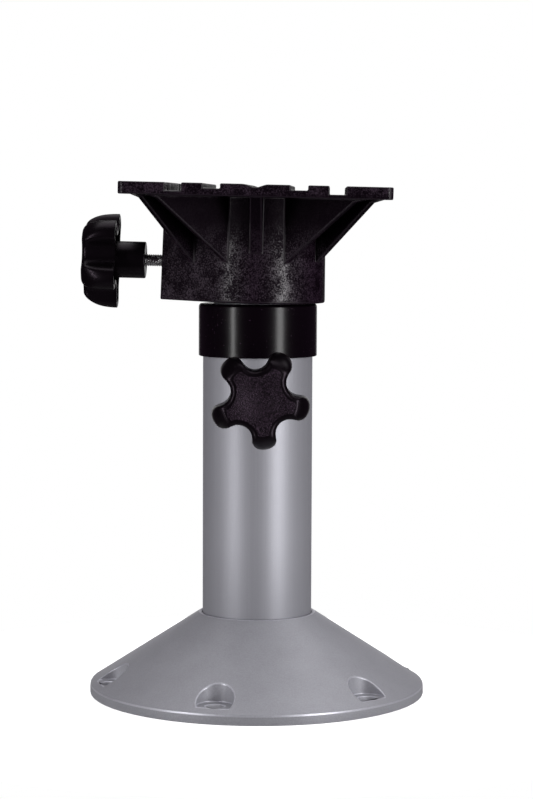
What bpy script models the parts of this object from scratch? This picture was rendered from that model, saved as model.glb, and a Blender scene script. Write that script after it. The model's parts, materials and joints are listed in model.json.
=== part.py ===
"""Boat seat pedestal: a cone-shaped deck base, a tube with a sliding post, a clamp knob for its height,
and a ribbed square seat mount that swivels on the post and is held by a second clamp knob.

Lengths are in metres, +Z is up, and the origin is on the deck at the centre of the base.
"""

import math

import bmesh
import bpy
from mathutils import Matrix, Vector

# Clearance between pieces that rest on, slide in or screw into each other
GAP = 0.0003
# Extra length of a cutter past the face it opens, and of a piece sunk into the one it is moulded to
OVERCUT = 0.002

# Deck base casting
BASE_RADIUS = 0.115
RIM_HEIGHT = 0.0070
RIM_WIDTH = 0.0103
RIM_ROUND = 0.0006
CONE_SLOPE = math.radians(32.85)
NECK_LIP = 0.0018
BASE_SHELL = 0.0055
HUB_WALL = 0.0052
SOCKET_FLOOR = 0.006
WEB_THICKNESS = 0.005

# Deck screw pockets
SCREW_COUNT = 6
SCREW_MARGIN = 0.0116
SCREW_START = math.radians(-14.9)
POCKET_RADIUS = 0.0125
POCKET_FLOOR = 0.010
POCKET_WALL = 0.0035
SCREW_HOLE_RADIUS = 0.0033
COUNTERSINK_RADIUS = 0.0065

# Outer tube and the grub screws that hold it in the base
TUBE_RADIUS = 0.0375
TUBE_WALL = 0.0025
GRUB_COUNT = 3
GRUB_RADIUS = 0.003
GRUB_HEIGHT = 0.022
GRUB_BITE = 0.0013
GRUB_SOCKET = 0.0016
GRUB_SOCKET_DEPTH = 0.003

# Top bush: the black collar over the tube, with the sleeve that guides the post
COLLAR_TOP = 0.2681
COLLAR_HEIGHT = 0.0358
COLLAR_WALL = 0.0027
COLLAR_FLANGE = 0.003
COLLAR_ROUND = 0.0022
COLLAR_LEAD = 0.0010

# Sliding post with its foot guide, cap and washer
POST_SPACE = 0.005
POST_WALL = 0.003
GUIDE_HEIGHT = 0.028
GUIDE_LIP = 0.0033
GUIDE_PLUG = 0.012
CAP_PLUG = 0.020
CAP_WALL = 0.0045
CAP_FLANGE = 0.003
WASHER_THICKNESS = 0.002
WASHER_WIDTH = 0.015
HEIGHT_TRAVEL = 0.150

# Seat mount moulding, measured up from its lower edge
MOUNT_CLEAR = 0.0015
MOUNT_YAW = math.radians(-1.6)
SOCKET_DEPTH = 0.0668
SWIVEL_PLAY = 0.00079
LEAN_HEADING = math.radians(-31.3)
BARREL_HEIGHT = 0.0709
BARREL_WALL = 0.0042
BARREL_DRAFT = math.radians(0.85)
SLEEVE_WALL = 0.0042
CORE_SPACE = 0.0069
CORE_DEPTH = 0.058
CORE_WEB = 0.003
CORE_WEBS = 8
BOSS_STANDOFF = 0.0191
BOSS_WIDTH = 0.022
BOSS_CORE = 0.0235

# Seat plate with its grooves
PLATE_SIZE = 0.178
PLATE_THICKNESS = 0.0082
PLATE_CORNER = 0.004
PLATE_ROUND = 0.0007
OUTER_GROOVE_AT = 0.0532
OUTER_GROOVE_WIDTH = 0.0107
OUTER_GROOVE_DEPTH = 0.0056
INNER_GROOVE_AT = 0.0284
INNER_GROOVE_WIDTH = 0.0112
INNER_GROOVE_DEPTH = 0.0034
VALLEY_WIDTH = 0.0170
VALLEY_DEPTH = 0.0021
SLOT_WIDTH = 0.007
SLOT_LENGTH = 0.024
SLOT_MARGIN = 0.0229

# Ribs under the plate
RIB_THICKNESS = 0.0046
RIB_SUNK = 0.00165
RIB_OFFSET = 0.0140
RIB_TURN = math.radians(6.0)
RIB_FOOT = 0.0267
BOSS_RIB_FOOT = 0.0205
RIB_MARGIN = 0.0177
RIB_TOE = 0.0085
RIB_TOE_DROP = 0.0022
SIDE_RIB_THICKNESS = 0.0078
SIDE_RIB_FOOT = 0.0345
SIDE_RIB_MARGIN = 0.0135

# Clamp screws, their pads and threaded inserts
STUD_RADIUS = 0.004
STUD_SUNK = 0.014
STUD_DOG_RADIUS = 0.0025
STUD_DOG = 0.0012
PAD_RADIUS = 0.0060
HEIGHT_PAD = 0.0026
SWIVEL_PAD = 0.0045
PAD_RETRACT = 0.0030
INSERT_RADIUS = 0.0055
INSERT_FLANGE_RADIUS = 0.008
INSERT_FLANGE = 0.002
SWIVEL_INSERT_LENGTH = 0.015
SWIVEL_INSERT_SUNK = 0.0006
HEIGHT_CLAMP_DROP = 0.0241
HEIGHT_CLAMP_TURN = math.radians(1.2)
HEIGHT_KNOB_STANDOFF = 0.0170
HEIGHT_KNOB_TURN = math.radians(-11.6)
SWIVEL_CLAMP_RISE = 0.0261
SWIVEL_KNOB_STANDOFF = 0.0112
SWIVEL_KNOB_TURN = math.radians(45.6)

# Star knobs
KNOB_LOBES = 5
KNOB_LOBE_CIRCLE = 0.0269
KNOB_LOBE_RADIUS = 0.0081
KNOB_HOLLOW_REACH = 0.0195
KNOB_HUB_RADIUS = 0.0125
KNOB_HUB_LENGTH = 0.0195
KNOB_DEPTH = 0.0228
KNOB_DOME_RADIUS = 0.0354
KNOB_DOME_DEPTH = 0.0318
KNOB_WALL = 0.0026
KNOB_ROUND = 0.0018
KNOB_DISH = 0.0010

# Places that follow from the sizes above
SOCKET_RADIUS = TUBE_RADIUS + GAP
HUB_RADIUS = SOCKET_RADIUS + HUB_WALL
NECK_RADIUS = SOCKET_RADIUS + NECK_LIP
NECK_TOP = RIM_HEIGHT + (BASE_RADIUS - NECK_RADIUS) * math.tan(CONE_SLOPE)
SCREW_CIRCLE = BASE_RADIUS - SCREW_MARGIN
TUBE_BORE = TUBE_RADIUS - TUBE_WALL
POST_RADIUS = TUBE_BORE - POST_SPACE
WASHER_BORE = POST_RADIUS - WASHER_WIDTH
TUBE_FOOT = SOCKET_FLOOR + GAP
TUBE_TOP = COLLAR_TOP - COLLAR_FLANGE - GAP
COLLAR_RADIUS = TUBE_RADIUS + GAP + COLLAR_WALL
COLLAR_FOOT = COLLAR_TOP - COLLAR_HEIGHT
GUIDE_RADIUS = TUBE_BORE - GAP
POST_BORE = POST_RADIUS - POST_WALL
POST_FOOT = TUBE_FOOT + GUIDE_LIP + GAP
GUIDE_TOP = TUBE_FOOT + GUIDE_HEIGHT
SLEEVE_FOOT = GUIDE_TOP + HEIGHT_TRAVEL + GAP
MOUNT_FOOT = COLLAR_TOP + MOUNT_CLEAR
MOUNT_LEAN = math.atan2(2.0 * SWIVEL_PLAY, SOCKET_DEPTH)
MOUNT_PIVOT = MOUNT_FOOT + SOCKET_DEPTH / 2.0
SWIVEL_BORE = POST_RADIUS + SWIVEL_PLAY + GAP
BARREL_RADIUS = SWIVEL_BORE + SLEEVE_WALL + CORE_SPACE + BARREL_WALL
BOSS_REACH = BARREL_RADIUS + BOSS_STANDOFF
PLATE_REACH = PLATE_SIZE / math.sqrt(2.0)
SLOT_END = PLATE_REACH - SLOT_MARGIN
SLOT_START = SLOT_END - SLOT_LENGTH
RIB_ROOT = math.sqrt((BARREL_RADIUS - RIB_SUNK) ** 2 - RIB_OFFSET ** 2)
RIB_LENGTH = PLATE_REACH - RIB_MARGIN - RIB_TOE - RIB_ROOT
SIDE_RIB_REACH = PLATE_SIZE / 2.0 - SIDE_RIB_MARGIN
WASHER_TOP = MOUNT_FOOT + SOCKET_DEPTH - SWIVEL_BORE * math.sin(MOUNT_LEAN) - GAP
CAP_TOP = WASHER_TOP - WASHER_THICKNESS - GAP
POST_TOP = CAP_TOP - CAP_FLANGE - GAP
HEIGHT_CLAMP = COLLAR_FOOT - HEIGHT_CLAMP_DROP
SWIVEL_CLAMP = MOUNT_FOOT + SWIVEL_CLAMP_RISE
HEIGHT_KNOB_REACH = TUBE_RADIUS + HEIGHT_KNOB_STANDOFF
SWIVEL_KNOB_REACH = BOSS_REACH + SWIVEL_KNOB_STANDOFF
PAD_FACE = POST_RADIUS + GAP

ROUND_LARGE = 64
ROUND_MEDIUM = 40
ROUND_INNER = 28
ROUND_SMALL = 16


def clear_scene():
    for thing in list(bpy.data.objects):
        bpy.data.objects.remove(thing)


def new_collection(name):
    collection = bpy.data.collections.new(name)
    bpy.context.scene.collection.children.link(collection)
    return collection


def place(thing, home, parent=None, location=(0.0, 0.0, 0.0), rotation=(0.0, 0.0, 0.0)):
    home.objects.link(thing)
    thing.parent = parent
    thing.location = location
    thing.rotation_euler = rotation
    if home is CUTTERS:
        thing.hide_render = True
        thing.display_type = 'WIRE'
    return thing


def frame(name, parent=None, location=(0.0, 0.0, 0.0), rotation=(0.0, 0.0, 0.0)):
    """An empty that carries the pieces of one mechanism."""
    empty = bpy.data.objects.new(name, None)
    empty.empty_display_size = TUBE_RADIUS
    return place(empty, PARTS, parent, location, rotation)


def turned(name, profile, steps, home, closed=False, **where):
    """A turned piece: the (radius, height) profile runs down its outer side, from top to bottom."""
    mesh = bpy.data.meshes.new(name)
    bm = bmesh.new()
    points = [bm.verts.new((radius, 0.0, height)) for radius, height in profile]
    for start, end in zip(points, points[1:]):
        bm.edges.new((start, end))
    if closed:
        bm.edges.new((points[-1], points[0]))
    bm.to_mesh(mesh)
    bm.free()
    thing = place(bpy.data.objects.new(name, mesh), home, **where)
    screw = thing.modifiers.new("turn", 'SCREW')
    screw.steps = steps
    screw.render_steps = steps
    screw.use_merge_vertices = True
    screw.merge_threshold = 0.00001
    return thing


def extruded(name, outline, thickness, home, **where):
    """A flat outline given thickness, half to each side of its plane."""
    curve = bpy.data.curves.new(name, 'CURVE')
    curve.dimensions = '2D'
    curve.fill_mode = 'BOTH'
    curve.extrude = thickness / 2.0
    spline = curve.splines.new('POLY')
    spline.points.add(len(outline) - 1)
    for point, (x, y) in zip(spline.points, outline):
        point.co = (x, y, 0.0, 1.0)
    spline.use_cyclic_u = True
    guide = bpy.data.objects.new(name + "_outline", curve)
    bpy.context.scene.collection.objects.link(guide)
    bpy.context.view_layer.update()
    mesh = bpy.data.meshes.new_from_object(guide.evaluated_get(bpy.context.evaluated_depsgraph_get()))
    bpy.data.objects.remove(guide)
    bm = bmesh.new()
    bm.from_mesh(mesh)
    bmesh.ops.remove_doubles(bm, verts=bm.verts, dist=0.00001)
    bmesh.ops.recalc_face_normals(bm, faces=bm.faces)
    bm.to_mesh(mesh)
    bm.free()
    mesh.name = name
    return place(bpy.data.objects.new(name, mesh), home, **where)


def boolean(thing, other, operation='DIFFERENCE'):
    modifier = thing.modifiers.new(operation.lower(), 'BOOLEAN')
    modifier.operation = operation
    modifier.solver = 'EXACT'
    modifier.object = other


def arc(centre, radius, start, end, steps):
    """Points on an arc round (x, y), with the angles in degrees."""
    for step in range(steps + 1):
        angle = math.radians(start + (end - start) * step / steps)
        yield centre[0] + radius * math.cos(angle), centre[1] + radius * math.sin(angle)


def cone_height(radius):
    return RIM_HEIGHT + (BASE_RADIUS - radius) * math.tan(CONE_SLOPE)


def screw_angles():
    """Turns about +Z of the screw pockets, counted from the front of the base."""
    return [SCREW_START + index * math.tau / SCREW_COUNT for index in range(SCREW_COUNT)]


def front_point(radius, angle, height=0.0):
    return radius * math.sin(angle), -radius * math.cos(angle), height


def base_hollow():
    """The space under the cone, kept out of the bosses and the webs that join them to the hub."""
    inside = BASE_RADIUS - RIM_WIDTH
    hollow = turned("base_hollow", [
        (HUB_RADIUS + 0.001, cone_height(HUB_RADIUS + 0.001) - BASE_SHELL),
        (inside - 0.001, cone_height(inside - 0.001) - BASE_SHELL),
        (inside, -OVERCUT),
        (HUB_RADIUS, -OVERCUT),
    ], ROUND_LARGE, CUTTERS, closed=True)
    boss = POCKET_RADIUS + POCKET_WALL
    outer = math.degrees(math.asin(WEB_THICKNESS / 2.0 / boss))
    keyhole = [(-WEB_THICKNESS / 2.0, -HUB_RADIUS + OVERCUT), (WEB_THICKNESS / 2.0, -HUB_RADIUS + OVERCUT)]
    keyhole.extend(arc((0.0, -SCREW_CIRCLE), boss, 90.0 - outer, -270.0 + outer, 20))
    for index, angle in enumerate(screw_angles()):
        web = extruded("base_web_%d" % (index + 1), keyhole, 2.0 * NECK_TOP, CUTTERS,
                       rotation=(0.0, 0.0, angle))
        boolean(hollow, web)
    return hollow


def screw_pocket(index, angle):
    slope = COUNTERSINK_RADIUS - SCREW_HOLE_RADIUS
    return turned("screw_pocket_%d" % index, [
        (0.0, NECK_TOP),
        (POCKET_RADIUS, NECK_TOP),
        (POCKET_RADIUS, POCKET_FLOOR),
        (COUNTERSINK_RADIUS, POCKET_FLOOR),
        (SCREW_HOLE_RADIUS, POCKET_FLOOR - slope),
        (SCREW_HOLE_RADIUS, -OVERCUT),
        (0.0, -OVERCUT),
    ], ROUND_SMALL + 4, CUTTERS, location=front_point(SCREW_CIRCLE, angle))


def grub_angles():
    half = math.pi / SCREW_COUNT
    return [SCREW_START + half + index * math.tau / GRUB_COUNT for index in range(GRUB_COUNT)]


def rod(name, radius, start, end, home, steps=ROUND_SMALL, **where):
    """A plain round bar along its own Z, from start to end."""
    return turned(name, [(0.0, end), (radius, end), (radius, start), (0.0, start)], steps, home, **where)


def radial(angle, height):
    """Where and how a piece lies whose own Z runs outwards, level, from the pedestal's axis."""
    return {"location": (0.0, 0.0, height), "rotation": (math.pi / 2.0, 0.0, angle)}


def make_base():
    casting = turned("base_flange", [
        (0.0, SOCKET_FLOOR),
        (SOCKET_RADIUS, SOCKET_FLOOR),
        (SOCKET_RADIUS, NECK_TOP),
        (NECK_RADIUS, NECK_TOP),
        (BASE_RADIUS - RIM_ROUND, cone_height(BASE_RADIUS - RIM_ROUND)),
        (BASE_RADIUS, RIM_HEIGHT - RIM_ROUND),
        (BASE_RADIUS, 0.0),
        (0.0, 0.0),
    ], ROUND_LARGE, PARTS)
    boolean(casting, base_hollow())
    for index, angle in enumerate(screw_angles()):
        boolean(casting, screw_pocket(index + 1, angle))
    for index, angle in enumerate(grub_angles()):
        hole = rod("grub_hole_%d" % (index + 1), GRUB_RADIUS + GAP, POST_RADIUS, HUB_RADIUS + 2.0 * OVERCUT,
                   CUTTERS, **radial(angle, GRUB_HEIGHT))
        boolean(casting, hole)


def make_grub_screw(index, angle):
    """A socket set screw, flush with the hub, whose point bites in a dimple of the tube."""
    outer = HUB_RADIUS - GAP
    point = TUBE_RADIUS - GRUB_BITE + GAP
    chamfer = GRUB_RADIUS / 4.0
    screw = turned("tube_set_screw_%d" % index, [
        (0.0, outer),
        (GRUB_RADIUS - chamfer, outer),
        (GRUB_RADIUS, outer - chamfer),
        (GRUB_RADIUS, point + 2.0 * chamfer),
        (GRUB_RADIUS - 2.0 * chamfer, point),
        (0.0, point),
    ], ROUND_SMALL, PARTS, **radial(angle, GRUB_HEIGHT))
    socket = rod("grub_socket_%d" % index, GRUB_SOCKET, outer - GRUB_SOCKET_DEPTH, outer + OVERCUT, CUTTERS, 6,
                 **radial(angle, GRUB_HEIGHT))
    boolean(screw, socket)


def make_tube():
    tube = turned("pedestal_tube", [
        (TUBE_BORE, TUBE_TOP),
        (TUBE_RADIUS, TUBE_TOP),
        (TUBE_RADIUS, TUBE_FOOT),
        (TUBE_BORE, TUBE_FOOT),
    ], ROUND_LARGE, PARTS, closed=True)
    for index, angle in enumerate(grub_angles()):
        dimple = rod("grub_dimple_%d" % (index + 1), GRUB_RADIUS + GAP, TUBE_RADIUS - GRUB_BITE,
                     HUB_RADIUS, CUTTERS, **radial(angle, GRUB_HEIGHT))
        boolean(tube, dimple)
    hole = rod("insert_hole", INSERT_RADIUS + GAP, POST_RADIUS, COLLAR_RADIUS, CUTTERS,
               **radial(HEIGHT_CLAMP_TURN, HEIGHT_CLAMP))
    boolean(tube, hole)


def make_top_bush():
    corner = (COLLAR_RADIUS - COLLAR_ROUND, COLLAR_TOP - COLLAR_ROUND)
    profile = [(POST_RADIUS + GAP, COLLAR_TOP - COLLAR_LEAD), (POST_RADIUS + GAP + COLLAR_LEAD, COLLAR_TOP)]
    profile.extend(arc(corner, COLLAR_ROUND, 90.0, 0.0, 4))
    profile.extend([
        (COLLAR_RADIUS, COLLAR_FOOT + COLLAR_LEAD / 2.0),
        (COLLAR_RADIUS - COLLAR_LEAD / 2.0, COLLAR_FOOT),
        (TUBE_RADIUS + GAP, COLLAR_FOOT),
        (TUBE_RADIUS + GAP, TUBE_TOP + GAP),
        (TUBE_BORE - GAP, TUBE_TOP + GAP),
        (TUBE_BORE - GAP, SLEEVE_FOOT),
        (POST_RADIUS + GAP, SLEEVE_FOOT),
    ])
    bush = turned("top_bush", profile, ROUND_LARGE, PARTS, closed=True)
    window = rod("pad_window", PAD_RADIUS + GAP, POST_BORE, TUBE_RADIUS, CUTTERS,
                 **radial(HEIGHT_CLAMP_TURN, HEIGHT_CLAMP))
    boolean(bush, window)


def make_post(post_frame):
    turned("inner_post", [
        (POST_BORE, POST_TOP),
        (POST_RADIUS, POST_TOP),
        (POST_RADIUS, POST_FOOT),
        (POST_BORE, POST_FOOT),
    ], ROUND_INNER, PARTS, closed=True, parent=post_frame)
    lead = COLLAR_LEAD
    plug = POST_BORE - GAP
    turned("lower_guide", [
        (POST_RADIUS + GAP, GUIDE_TOP),
        (GUIDE_RADIUS - lead, GUIDE_TOP),
        (GUIDE_RADIUS, GUIDE_TOP - lead),
        (GUIDE_RADIUS, TUBE_FOOT + lead),
        (GUIDE_RADIUS - lead, TUBE_FOOT),
        (plug - POST_WALL, TUBE_FOOT),
        (plug - POST_WALL, TUBE_FOOT + GUIDE_PLUG - lead),
        (plug - lead, TUBE_FOOT + GUIDE_PLUG),
        (plug, TUBE_FOOT + GUIDE_PLUG - lead),
        (plug, POST_FOOT - GAP),
        (POST_RADIUS + GAP, POST_FOOT - GAP),
    ], ROUND_INNER, PARTS, closed=True, parent=post_frame)
    under = CAP_TOP - CAP_FLANGE
    turned("post_cap", [
        (WASHER_BORE, CAP_TOP),
        (POST_RADIUS - lead / 2.0, CAP_TOP),
        (POST_RADIUS, CAP_TOP - lead / 2.0),
        (POST_RADIUS, under),
        (plug, under),
        (plug, under - CAP_PLUG + lead),
        (plug - lead, under - CAP_PLUG),
        (plug - CAP_WALL, under - CAP_PLUG),
        (plug - CAP_WALL, under),
        (WASHER_BORE, under),
    ], ROUND_INNER, PARTS, closed=True, parent=post_frame)
    turned("thrust_washer", [
        (WASHER_BORE, WASHER_TOP),
        (POST_RADIUS, WASHER_TOP),
        (POST_RADIUS, WASHER_TOP - WASHER_THICKNESS),
        (WASHER_BORE, WASHER_TOP - WASHER_THICKNESS),
    ], ROUND_INNER, PARTS, closed=True, parent=post_frame)


def plate_outline():
    """The plate's edge as it is seen end-on: pads, square grooves and a soft valley in the middle."""
    right = [(PLATE_SIZE / 2.0, 0.0), (PLATE_SIZE / 2.0, PLATE_THICKNESS)]
    grooves = [(OUTER_GROOVE_AT, OUTER_GROOVE_WIDTH, OUTER_GROOVE_DEPTH),
               (INNER_GROOVE_AT, INNER_GROOVE_WIDTH, INNER_GROOVE_DEPTH)]
    for at, width, depth in grooves:
        floor = PLATE_THICKNESS - depth
        right.extend([(at + width / 2.0, PLATE_THICKNESS), (at + width / 2.0, floor),
                      (at - width / 2.0, floor), (at - width / 2.0, PLATE_THICKNESS)])
    steps = 8
    for step in range(steps):
        x = VALLEY_WIDTH / 2.0 * (1.0 - step / steps)
        dip = 0.5 + 0.5 * math.cos(math.tau * x / VALLEY_WIDTH)
        right.append((x, PLATE_THICKNESS - VALLEY_DEPTH * dip))
    left = [(-x, y) for x, y in reversed(right)]
    return right + [(0.0, PLATE_THICKNESS - VALLEY_DEPTH)] + left


def square_outline(size, corner):
    half = size / 2.0 - corner
    points = []
    for start, x, y in ((0.0, half, half), (90.0, -half, half), (180.0, -half, -half), (270.0, half, -half)):
        points.extend(arc((x, y), corner, start, start + 90.0, 3))
    return points


def make_plate(mount_frame, foot):
    plate = extruded("seat_mount", plate_outline(), PLATE_SIZE, PARTS, parent=mount_frame,
                     location=(0.0, 0.0, foot + BARREL_HEIGHT), rotation=(math.pi / 2.0, 0.0, 0.0))
    blank = extruded("plate_blank", square_outline(PLATE_SIZE, PLATE_CORNER), 4.0 * PLATE_THICKNESS, CUTTERS,
                     parent=mount_frame, location=(0.0, 0.0, foot + BARREL_HEIGHT))
    boolean(plate, blank, 'INTERSECT')
    rounding = plate.modifiers.new("edges", 'BEVEL')
    rounding.width = PLATE_ROUND
    rounding.segments = 2
    rounding.limit_method = 'ANGLE'
    rounding.angle_limit = math.radians(60.0)
    return plate


def drafted(thing, height, taper):
    """Narrows the upper end of an extruded piece towards its axis, as a moulding's draft does."""
    for vertex in thing.data.vertices:
        if vertex.co.z > 0.0:
            vertex.co.x *= taper
            vertex.co.y *= taper
    return thing


def make_barrel(mount_frame, foot):
    rise = BARREL_HEIGHT + PLATE_THICKNESS / 4.0
    taper = (BARREL_RADIUS - rise * math.tan(BARREL_DRAFT)) / BARREL_RADIUS
    lead = PLATE_ROUND
    barrel = turned("barrel", [
        (0.0, rise),
        (BARREL_RADIUS * taper, rise),
        (BARREL_RADIUS, lead),
        (BARREL_RADIUS - lead, 0.0),
        (0.0, 0.0),
    ], ROUND_LARGE, CUTTERS, parent=mount_frame, location=(0.0, 0.0, foot))
    # The boss's sides leave the barrel along tangents and end on a narrow flat
    half = BOSS_WIDTH / 2.0
    spread = math.hypot(BOSS_REACH, half)
    turn = math.atan2(half, BOSS_REACH) + math.acos(BARREL_RADIUS / spread)
    touch = (-BARREL_RADIUS * math.cos(turn), -BARREL_RADIUS * math.sin(turn))
    outline = [(-BOSS_REACH, half), (-BOSS_REACH, -half), touch, (0.0, touch[1] / 2.0), (0.0, -touch[1] / 2.0),
               (touch[0], -touch[1])]
    boss = extruded("boss", outline, rise, CUTTERS, parent=mount_frame, location=(0.0, 0.0, foot + rise / 2.0))
    boolean(barrel, drafted(boss, rise, taper), 'UNION')
    return barrel


def rib_outline(length, foot):
    """A corner rib's side: from inside the barrel's wall up its slope, and a flatter toe at its end."""
    top = BARREL_HEIGHT + PLATE_THICKNESS / 8.0
    toe = BARREL_HEIGHT - RIB_TOE_DROP
    slope = (toe - foot) / length
    back = BARREL_WALL + OVERCUT
    return [(-back, top), (-back, foot - slope * back), (length, toe), (length + RIB_TOE, BARREL_HEIGHT),
            (length + RIB_TOE, top)]


def make_ribs(mount_frame, foot):
    ribs = []
    for corner in range(4):
        middle = math.pi / 4.0 + corner * math.pi / 2.0
        for side in (-1.0, 1.0):
            root = Matrix.Rotation(middle, 2) @ Vector((RIB_ROOT, side * RIB_OFFSET))
            heading = middle - side * RIB_TURN
            # The two ribs beside the clamp boss run further down, to the boss's own wall
            rib_foot = BOSS_RIB_FOOT if root.x < -abs(root.y) else RIB_FOOT
            ribs.append(extruded("rib_%d" % (len(ribs) + 1), rib_outline(RIB_LENGTH, rib_foot), RIB_THICKNESS, CUTTERS,
                                 parent=mount_frame, location=(root.x, root.y, foot),
                                 rotation=(math.pi / 2.0, 0.0, heading)))
    top = BARREL_HEIGHT + PLATE_THICKNESS / 8.0
    root = BARREL_RADIUS - BARREL_WALL
    slope = (BARREL_HEIGHT - SIDE_RIB_FOOT) / (SIDE_RIB_REACH - BARREL_RADIUS)
    side_rib = [(root, top), (root, SIDE_RIB_FOOT - slope * BARREL_WALL), (SIDE_RIB_REACH, BARREL_HEIGHT),
                (SIDE_RIB_REACH, top)]
    for index, heading in enumerate((-90.0, 0.0, 90.0)):
        ribs.append(extruded("side_rib_%d" % (index + 1), side_rib, SIDE_RIB_THICKNESS, CUTTERS, parent=mount_frame,
                             location=(0.0, 0.0, foot), rotation=(math.pi / 2.0, 0.0, math.radians(heading))))
    return ribs


def barrel_core(mount_frame, foot):
    """The open ring between the barrel's wall and its inner sleeve, crossed by webs and the clamp boss."""
    outer = BARREL_RADIUS - BARREL_WALL
    inner = SWIVEL_BORE + SLEEVE_WALL
    draft = CORE_DEPTH * math.tan(BARREL_DRAFT)
    core = turned("barrel_core", [
        (inner + draft, CORE_DEPTH),
        (outer - draft, CORE_DEPTH),
        (outer, -OVERCUT),
        (inner, -OVERCUT),
    ], ROUND_MEDIUM, CUTTERS, closed=True, parent=mount_frame, location=(0.0, 0.0, foot))
    for index in range(CORE_WEBS):
        heading = (index + 0.5) * math.tau / CORE_WEBS
        web = [(0.0, -CORE_WEB / 2.0), (BARREL_RADIUS, -CORE_WEB / 2.0), (BARREL_RADIUS, CORE_WEB / 2.0),
               (0.0, CORE_WEB / 2.0)]
        boolean(core, extruded("core_web_%d" % (index + 1), web, 4.0 * CORE_DEPTH, CUTTERS, parent=mount_frame,
                               location=(0.0, 0.0, foot), rotation=(0.0, 0.0, heading)))
    half = BOSS_CORE / 2.0
    block = [(0.0, -half), (0.0, half), (-BARREL_RADIUS, half), (-BARREL_RADIUS, -half)]
    boolean(core, extruded("core_block", block, 4.0 * CORE_DEPTH, CUTTERS, parent=mount_frame,
                           location=(0.0, 0.0, foot)))
    return core


def slot_outline():
    radius = SLOT_WIDTH / 2.0
    points = list(arc((SLOT_END - radius, 0.0), radius, -90.0, 90.0, 6))
    points.extend(arc((SLOT_START + radius, 0.0), radius, 90.0, 270.0, 6))
    return points


def boss_face(height):
    """How far the clamp boss reaches at a height above the barrel's lower edge."""
    return BOSS_REACH * (BARREL_RADIUS - height * math.tan(BARREL_DRAFT)) / BARREL_RADIUS


def swivel_insert_span():
    end = boss_face(SWIVEL_CLAMP_RISE) - SWIVEL_INSERT_SUNK
    return end - SWIVEL_INSERT_LENGTH, end


def make_seat_mount(mount_frame):
    foot = MOUNT_FOOT - MOUNT_PIVOT
    mount = make_plate(mount_frame, foot)
    for piece in [make_barrel(mount_frame, foot)] + make_ribs(mount_frame, foot):
        boolean(mount, piece, 'UNION')
    boolean(mount, barrel_core(mount_frame, foot))
    boolean(mount, rod("swivel_bore", SWIVEL_BORE, -OVERCUT, SOCKET_DEPTH, CUTTERS, ROUND_MEDIUM, parent=mount_frame,
                       location=(0.0, 0.0, foot)))
    for corner in range(4):
        heading = math.pi / 4.0 + corner * math.pi / 2.0
        boolean(mount, extruded("bolt_slot_%d" % (corner + 1), slot_outline(), 4.0 * PLATE_THICKNESS, CUTTERS,
                                parent=mount_frame, location=(0.0, 0.0, foot + BARREL_HEIGHT),
                                rotation=(0.0, 0.0, heading)))
    seat, _ = swivel_insert_span()
    pad_end = PAD_FACE + SWIVEL_PAD + PAD_RETRACT + 2.0 * GAP
    clamp_hole = turned("clamp_hole", [
        (0.0, 2.0 * BOSS_REACH),
        (INSERT_RADIUS + GAP, 2.0 * BOSS_REACH),
        (INSERT_RADIUS + GAP, seat - GAP),
        (STUD_RADIUS + 2.0 * GAP, seat - GAP),
        (STUD_RADIUS + 2.0 * GAP, pad_end),
        (PAD_RADIUS + GAP, pad_end),
        (PAD_RADIUS + GAP, SWIVEL_BORE - 2.0 * OVERCUT),
        (0.0, SWIVEL_BORE - 2.0 * OVERCUT),
    ], ROUND_SMALL, CUTTERS, parent=mount_frame, location=(0.0, 0.0, foot + SWIVEL_CLAMP_RISE),
        rotation=(math.pi / 2.0, 0.0, -math.pi / 2.0))
    boolean(mount, clamp_hole)


def star_outline(inset):
    """Points round a star of round lobes joined by tangent hollows, moved inwards by inset."""
    lobe = KNOB_LOBE_RADIUS - inset
    reach = KNOB_HOLLOW_REACH - inset
    half = math.pi / KNOB_LOBES
    along = KNOB_LOBE_CIRCLE * math.cos(half)
    hollow = (KNOB_LOBE_CIRCLE ** 2 + reach ** 2 - 2.0 * reach * along - lobe ** 2) / (2.0 * (lobe + along - reach))
    pivot = ((reach + hollow) * math.cos(half), (reach + hollow) * math.sin(half))
    sweep = math.degrees(math.atan2(pivot[1], pivot[0] - KNOB_LOBE_CIRCLE))
    middle = 180.0 + math.degrees(half)
    points = []
    for index in range(KNOB_LOBES):
        turn = Matrix.Rotation(index * math.tau / KNOB_LOBES, 2)
        section = list(arc((KNOB_LOBE_CIRCLE, 0.0), lobe, -sweep, sweep, 5))[:-1]
        section += list(arc(pivot, hollow, 180.0 + sweep, 2.0 * middle - 180.0 - sweep, 4))[:-1]
        points.extend(turn @ Vector(point) for point in section)
    return points


def dome_radius(depth, wall):
    """Reach of the knob's rounded back at a depth behind its front face, less a wall."""
    along = (KNOB_DEPTH - depth) / KNOB_DOME_DEPTH
    return KNOB_DOME_RADIUS * math.sqrt(1.0 - along ** 2) - wall


def star_loop(height, depth, inset, wall=0.0, scale=1.0):
    """One ring of the knob: the star, its lobes drawn in softly where the dome is narrower."""
    loop = []
    sharpness = 20.0
    reach = dome_radius(depth, wall)
    for point in star_outline(inset):
        size = point.length
        limited = (size ** -sharpness + reach ** -sharpness) ** (-1.0 / sharpness)
        loop.append((point.x * limited / size * scale, point.y * limited / size * scale, height))
    return loop


def round_loop(height, radius):
    """A ring round the knob's axis with a point in the direction of each point of the star."""
    return [(point.x * radius / point.length, point.y * radius / point.length, height)
            for point in star_outline(0.0)]


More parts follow.
